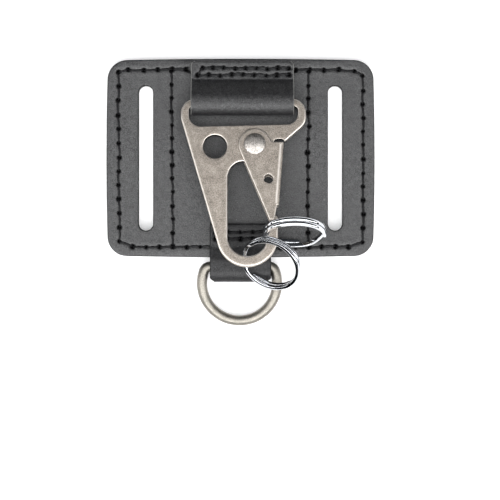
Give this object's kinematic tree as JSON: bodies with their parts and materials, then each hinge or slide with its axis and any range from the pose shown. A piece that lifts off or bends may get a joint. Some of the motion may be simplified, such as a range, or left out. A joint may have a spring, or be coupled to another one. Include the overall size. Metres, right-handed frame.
{
  "type": "belt key ring holder",
  "caption": "Stitched leather panel that threads onto a belt and carries a snap hook on a folded strap, a D-ring on a folded tab, and split key rings on the hook.",
  "frame": {"origin": "centre of the leather panel's back face", "axes": "+Z out of the panel's front, +X across the panel towards the gate's side, +Y up towards the end that carries the hook's strap"},
  "size_m": [0.0812, 0.0809, 0.023],
  "materials": {
    "black_leather": "matte, fine grain",
    "dark_leather": "matte, smooth",
    "waxed_thread": "waxed",
    "antique_silver": "antique silver plating, matte",
    "spring_steel": "bare wire",
    "polished_nickel": "polished nickel plating"
  },
  "bodies": {
    "panel": {"back_panel": "black_leather", "front_panel": "black_leather", "hook_strap": "black_leather", "ring_tab": "dark_leather", "border_seam_front_thread": "waxed_thread", "border_seam_back_thread": "waxed_thread", "left_slot_seam_front_thread": "waxed_thread", "left_slot_seam_back_thread": "waxed_thread", "right_slot_seam_front_thread": "waxed_thread", "right_slot_seam_back_thread": "waxed_thread", "hook_strap_seam_front_thread": "waxed_thread", "hook_strap_seam_back_thread": "waxed_thread", "ring_tab_seam_front_thread": "waxed_thread", "ring_tab_seam_back_thread": "waxed_thread"},
    "hook": {"hook_frame": "antique_silver", "gate_rivet": "antique_silver", "gate_spring": "spring_steel"},
    "gate": {"gate": "antique_silver"},
    "d_ring": {"d_ring": "antique_silver"},
    "upper_split_ring": {"upper_split_ring": "polished_nickel"},
    "lower_split_ring": {"lower_split_ring": "polished_nickel"}
  },
  "joints": [
    {"name": "hook_swing", "type": "hinge", "parent": "panel", "child": "hook", "pos_m": [0, 0.0163, 0.00773], "axis": [-1, 0, 0], "range_deg": [0, 120]},
    {"name": "gate_swing", "type": "hinge", "parent": "hook", "child": "gate", "pos_m": [0.0043, 0.00344, 0.00966], "axis": [0, -0.1485, -0.9889], "range_deg": [0, 25], "stiffness_Nm_per_rad": 0.01, "springref_deg": -34.38, "deforming": ["gate_spring"]},
    {"name": "d_ring_swing", "type": "hinge", "parent": "panel", "child": "d_ring", "pos_m": [-0.0003, -0.0329, 0.0033], "axis": [-1, 0, 0], "range_deg": [0, 25]},
    {"name": "upper_ring_swing", "type": "hinge", "parent": "hook", "child": "upper_split_ring", "pos_m": [0.01, -0.02266, 0.01358], "axis": [0, -0.9889, 0.1485], "range_deg": [0, 60]},
    {"name": "lower_ring_swing", "type": "hinge", "parent": "hook", "child": "lower_split_ring", "pos_m": [0.0001, -0.02409, 0.01283], "axis": [0, -0.9889, 0.1485], "range_deg": [0, 35]}
  ]
}
